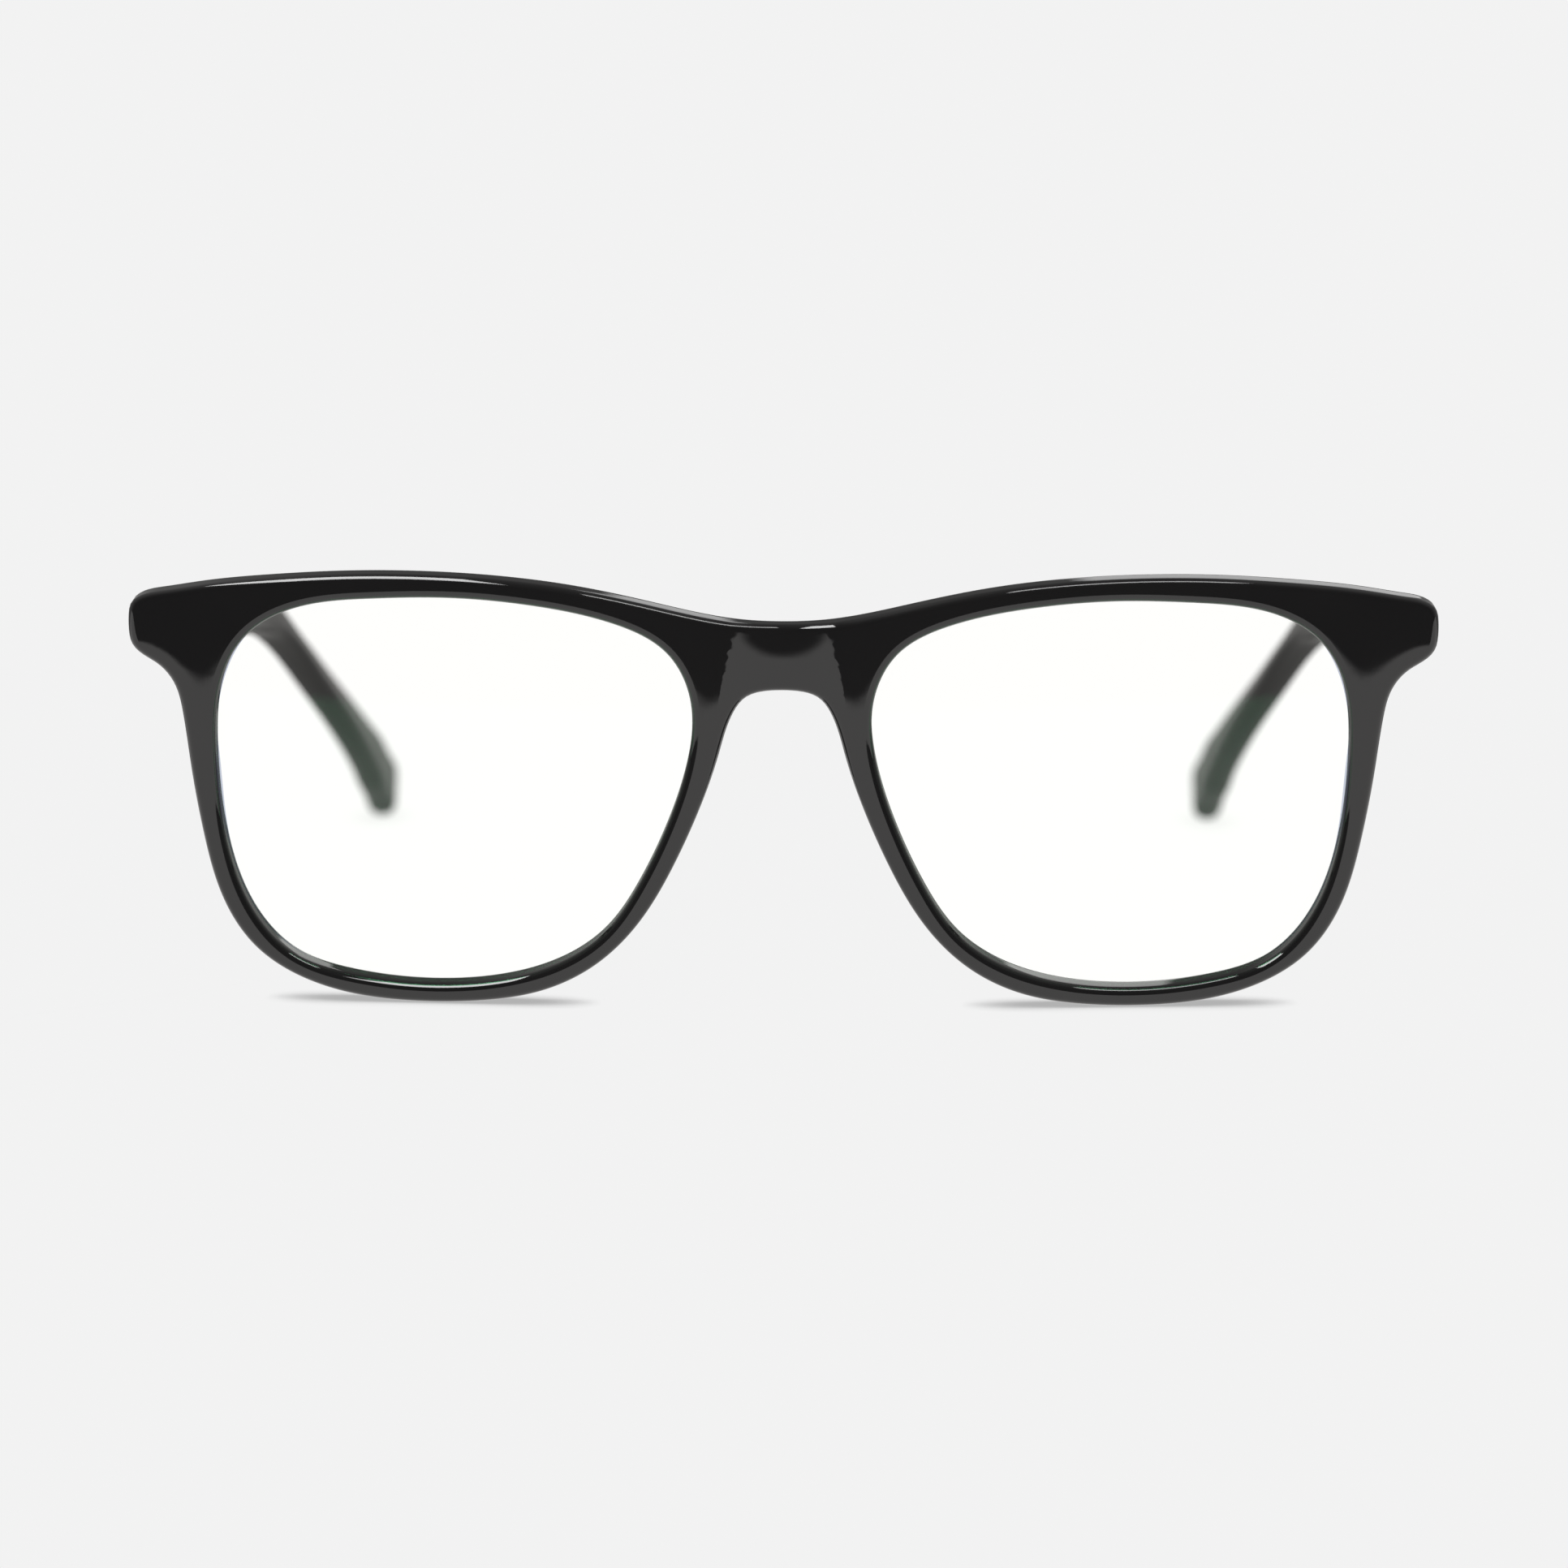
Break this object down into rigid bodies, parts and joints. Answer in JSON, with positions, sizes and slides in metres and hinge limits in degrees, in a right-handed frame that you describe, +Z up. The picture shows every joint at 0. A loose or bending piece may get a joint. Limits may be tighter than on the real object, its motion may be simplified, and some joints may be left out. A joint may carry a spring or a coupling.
{
  "type": "blue light glasses",
  "caption": "Black acetate glasses with clear coated lenses, bonded nose pads and temples that fold on spring hinges.",
  "frame": {"origin": "middle of the footprint, on the surface the open glasses rest on", "axes": "+X towards the wearer's left, +Y from the front back to the temple tips, +Z up"},
  "size_m": [0.1402, 0.1496, 0.0466],
  "materials": {
    "acetate": "polished black acetate",
    "temple_acetate": "polished black acetate",
    "lens": "clear plano lens with a green anti-reflective coating",
    "hinge_steel": "satin nickel-plated steel",
    "screw_steel": "polished steel",
    "spring_steel": "bright spring wire",
    "core_steel": "drawn wire"
  },
  "bodies": {
    "front": {"front_frame": "acetate", "lens_left": "lens", "lens_right": "lens", "nose_pad_left": "acetate", "hinge_front_left": "hinge_steel", "hinge_screw_left": "screw_steel", "nose_pad_right": "acetate", "hinge_front_right": "hinge_steel", "hinge_screw_right": "screw_steel"},
    "slider_left": {"hinge_slider_left": "hinge_steel", "spring_stop_left": "screw_steel", "hinge_spring_left": "spring_steel"},
    "temple_left": {"temple_left": "temple_acetate", "hinge_housing_left": "hinge_steel", "core_wire_left": "core_steel"},
    "slider_right": {"hinge_slider_right": "hinge_steel", "spring_stop_right": "screw_steel", "hinge_spring_right": "spring_steel"},
    "temple_right": {"temple_right": "temple_acetate", "hinge_housing_right": "hinge_steel", "core_wire_right": "core_steel"}
  },
  "joints": [
    {"name": "fold_left", "type": "hinge", "parent": "front", "child": "slider_left", "pos_m": [0.0639, -0.06311, 0.03964], "axis": [0, -0.0523, 0.9986], "range_deg": [0, 85]},
    {"name": "flex_left", "type": "slide", "parent": "slider_left", "child": "temple_left", "axis": [-0.073, 0.9935, -0.0872], "range_m": [0, 0.0015], "stiffness_N_per_m": 600, "springref_m": -0.003, "deforming": ["hinge_spring_left"]},
    {"name": "fold_right", "type": "hinge", "parent": "front", "child": "slider_right", "pos_m": [-0.0639, -0.06311, 0.03964], "axis": [0, 0.0523, -0.9986], "range_deg": [0, 79]},
    {"name": "flex_right", "type": "slide", "parent": "slider_right", "child": "temple_right", "axis": [0.073, 0.9935, -0.0872], "range_m": [0, 0.0015], "stiffness_N_per_m": 600, "springref_m": -0.003, "deforming": ["hinge_spring_right"]}
  ]
}
